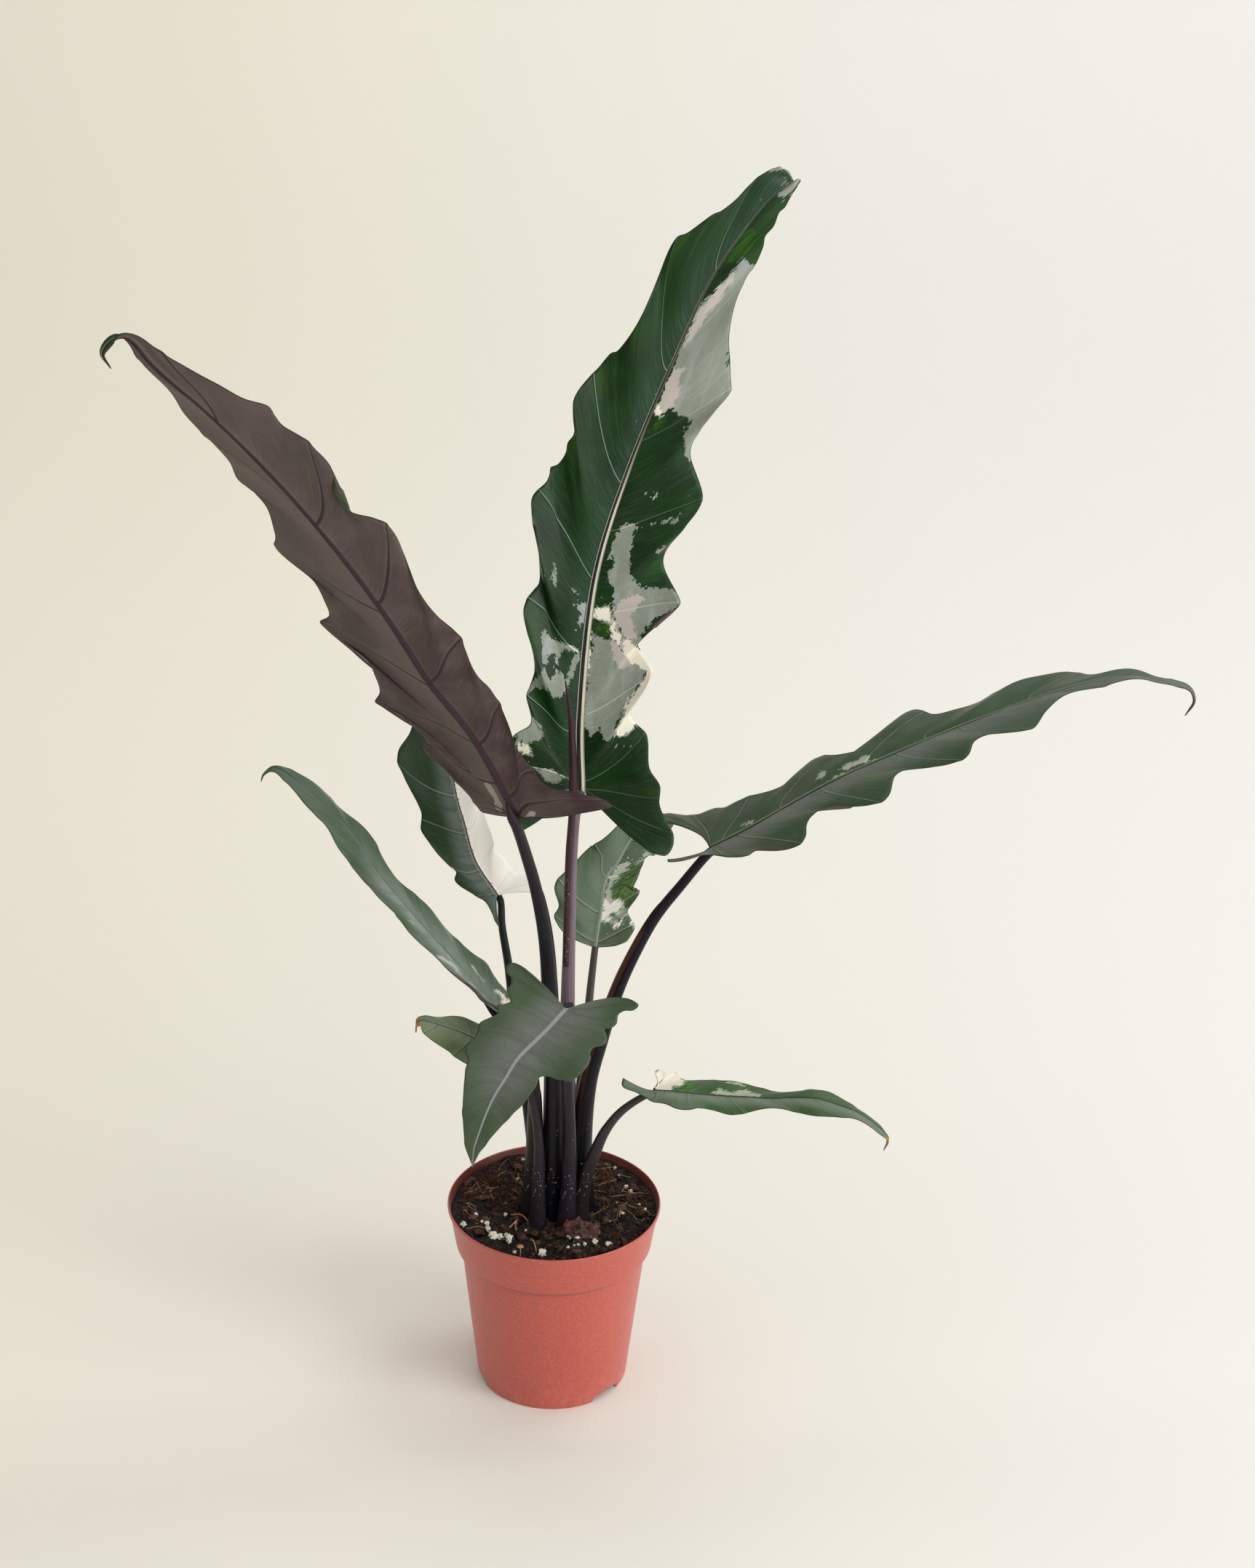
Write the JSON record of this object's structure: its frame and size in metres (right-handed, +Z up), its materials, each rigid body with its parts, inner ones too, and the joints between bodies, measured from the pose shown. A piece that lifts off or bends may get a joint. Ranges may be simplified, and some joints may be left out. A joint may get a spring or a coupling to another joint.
{
  "type": "potted alocasia plant",
  "caption": "Potted variegated alocasia: long wavy arrow-shaped leaves on dark upright stalks, in a round plastic nursery pot filled with bark mix.",
  "frame": {"origin": "centre of the pot's flat base, on the surface it stands on", "axes": "+Z up along the pot's axis, -Y towards the camera of the picture, +X to the right in it"},
  "size_m": [0.541, 0.2585, 0.6801],
  "materials": {
    "pot_plastic": "satin",
    "potting_mix": "matte",
    "rhizome": "matte",
    "leaf_tall": "satin",
    "leaf_left": "satin",
    "leaf_right": "satin",
    "leaf_slender": "satin",
    "leaf_front": "satin",
    "leaf_low": "satin",
    "leaf_cream": "satin",
    "leaf_rear": "satin",
    "leaf_small": "satin",
    "petiole": "satin",
    "new_leaf": "satin"
  },
  "bodies": {
    "root": {"pot": "pot_plastic", "soil": "potting_mix", "rhizome": "rhizome", "blade_tall": "leaf_tall", "blade_left": "leaf_left", "blade_right": "leaf_right", "blade_slender": "leaf_slender", "blade_front": "leaf_front", "blade_low": "leaf_low", "blade_cream": "leaf_cream", "blade_rear": "leaf_rear", "blade_small": "leaf_small", "petiole_tall": "petiole", "petiole_left": "petiole", "petiole_right": "petiole", "petiole_slender": "petiole", "petiole_front": "petiole", "petiole_low": "petiole", "petiole_cream": "petiole", "petiole_rear": "petiole", "petiole_small": "petiole", "rolled_leaf": "new_leaf"}
  },
  "joints": []
}
